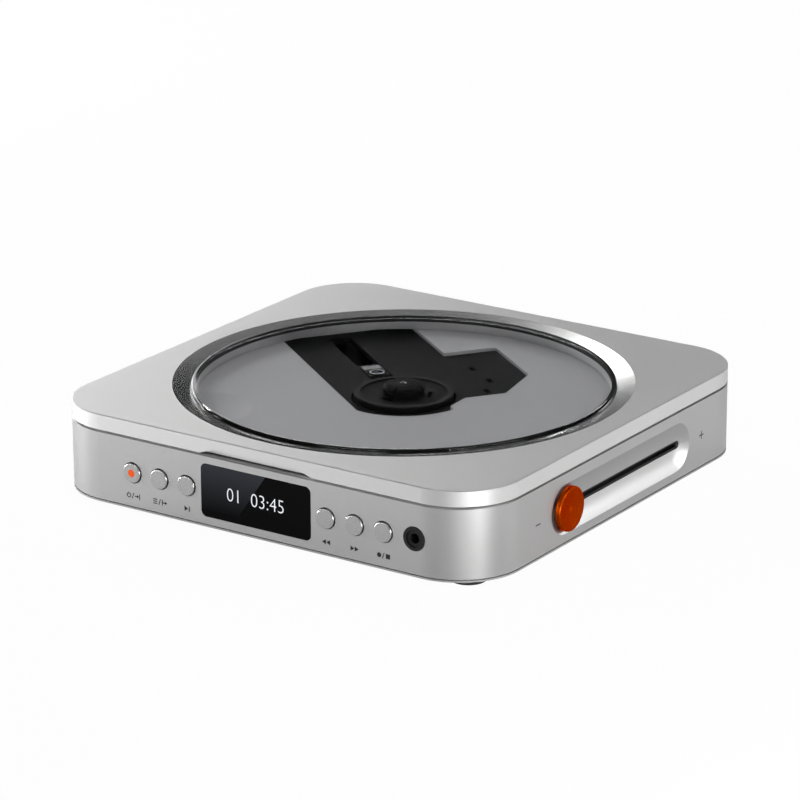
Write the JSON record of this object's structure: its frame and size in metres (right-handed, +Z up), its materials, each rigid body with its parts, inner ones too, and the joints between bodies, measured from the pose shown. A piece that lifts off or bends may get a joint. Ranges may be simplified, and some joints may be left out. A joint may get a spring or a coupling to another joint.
{
  "type": "compact disc player",
  "caption": "Top-loading disc player: rounded low case, hinged lid with a round window, spinning hub, moving pickup, front keys, display and a sliding side knob.",
  "frame": {"origin": "centre of the case's footprint, on the surface it stands on", "axes": "+Z up, the controls' front faces -Y and the sliding knob's side faces +X"},
  "size_m": [0.1819, 0.1867, 0.0339],
  "materials": {
    "case_grey": "fine matte grey finish",
    "case_base": "matte grey",
    "foot_rubber": "matte black",
    "deck_grey": "matte grey",
    "clear_window": "clear, slightly smoked, polished",
    "black_rubber": "matte black",
    "black_plastic": "matte black",
    "steel": "fine brushed",
    "bright_steel": "polished",
    "screw_steel": "dark plated",
    "button_grey": "satin grey",
    "orange_lens": "glossy orange",
    "orange_knob": "anodised orange",
    "display_black": "polished black",
    "board_green": "lacquered board",
    "white_plastic": "unpainted moulded",
    "brass_metal": "turned",
    "lens_glass": "coated lens"
  },
  "bodies": {
    "case": {"base_shell": "case_grey", "bottom_plate": "case_base", "feet": "foot_rubber", "disc_deck": "deck_grey", "base_magnets": "bright_steel", "lid_bumpers": "black_rubber", "base_hinge_leaves": "steel", "hinge_pins": "bright_steel", "bottom_screws": "screw_steel", "deck_screws": "screw_steel", "base_hinge_screws": "screw_steel", "key_switches": "black_plastic", "front_board": "board_green", "display_window": "display_black", "display_module": "black_plastic", "headphone_jack": "black_plastic", "jack_collar": "black_plastic", "slot_liner": "black_plastic", "slide_pot": "steel", "rear_panel": "black_plastic", "phono_shells": "brass_metal", "phono_cores": "white_plastic", "usb_socket": "steel", "board_standoffs": "brass_metal", "main_board": "board_green", "board_parts": "black_plastic", "drive_chassis": "black_plastic", "drive_posts": "black_plastic", "drive_dampers": "black_rubber", "guide_rods": "bright_steel", "spindle_motor": "steel", "gear_axle": "bright_steel", "sled_motor": "steel"},
    "lid": {"lid_frame": "case_grey", "lid_liner": "black_plastic", "lid_window": "clear_window", "window_gasket": "black_rubber", "lid_magnets": "bright_steel", "lid_hinge_leaves": "steel", "lid_hinge_screws": "screw_steel", "lid_screws": "screw_steel"},
    "disc_drive": {"turntable": "black_plastic", "disc_pad": "black_rubber", "turntable_hub": "black_plastic", "spindle_shaft": "bright_steel"},
    "pickup": {"pickup_sled": "black_plastic", "sled_rack": "white_plastic"},
    "lens": {"lens_carrier": "black_plastic", "objective_lens": "lens_glass"},
    "step_gear": {"sled_gear": "white_plastic"},
    "motor_gear": {"motor_pinion": "brass_metal"},
    "fader": {"volume_knob": "orange_knob", "fader_lever": "steel"},
    "power_key": {"button_power": "button_grey", "power_dot": "orange_lens"},
    "source_key": {"button_source": "button_grey"},
    "play_key": {"button_play": "button_grey"},
    "previous_key": {"button_previous": "button_grey"},
    "next_key": {"button_next": "button_grey"},
    "stop_key": {"button_stop": "button_grey"}
  },
  "joints": [
    {"name": "lid_hinge", "type": "hinge", "parent": "case", "child": "lid", "pos_m": [0, 0.08925, 0.0281], "axis": [-1, 0, 0], "range_deg": [0, 75]},
    {"name": "turntable_spin", "type": "hinge", "parent": "case", "child": "disc_drive", "pos_m": [0, 0, 0.0271], "axis": [0, 0, 1], "continuous": true},
    {"name": "pickup_slide", "type": "slide", "parent": "case", "child": "pickup", "axis": [-0.8039, 0.5948, 0], "range_m": [-0.0042, 0.0295]},
    {"name": "lens_focus", "type": "slide", "parent": "pickup", "child": "lens", "axis": [0, 0, 1], "range_m": [-0.0005, 0.0005], "stiffness_N_per_m": 30},
    {"name": "step_gear_spin", "type": "hinge", "parent": "case", "child": "step_gear", "pos_m": [-0.02347, 0.04225, 0.0135], "axis": [0, 0, 1], "range_deg": [-570, 85]},
    {"name": "motor_gear_spin", "type": "hinge", "parent": "case", "child": "motor_gear", "pos_m": [-0.0115, 0.04583, 0.0135], "axis": [0, 0, 1], "range_deg": [-325, 2260]},
    {"name": "fader_slide", "type": "slide", "parent": "case", "child": "fader", "axis": [0, 1, 0], "range_m": [0, 0.071]},
    {"name": "power_press", "type": "slide", "parent": "case", "child": "power_key", "axis": [0, 1, 0], "range_m": [0, 0.0005], "stiffness_N_per_m": 800},
    {"name": "source_press", "type": "slide", "parent": "case", "child": "source_key", "axis": [0, 1, 0], "range_m": [0, 0.0005], "stiffness_N_per_m": 800},
    {"name": "play_press", "type": "slide", "parent": "case", "child": "play_key", "axis": [0, 1, 0], "range_m": [0, 0.0005], "stiffness_N_per_m": 800},
    {"name": "previous_press", "type": "slide", "parent": "case", "child": "previous_key", "axis": [0, 1, 0], "range_m": [0, 0.0005], "stiffness_N_per_m": 800},
    {"name": "next_press", "type": "slide", "parent": "case", "child": "next_key", "axis": [0, 1, 0], "range_m": [0, 0.0005], "stiffness_N_per_m": 800},
    {"name": "stop_press", "type": "slide", "parent": "case", "child": "stop_key", "axis": [0, 1, 0], "range_m": [0, 0.0005], "stiffness_N_per_m": 800}
  ],
  "couplings": [
    {"joint": "step_gear_spin", "follows": "pickup_slide", "rad_per_m": -333.33},
    {"joint": "motor_gear_spin", "follows": "pickup_slide", "rad_per_m": 1333.3}
  ]
}
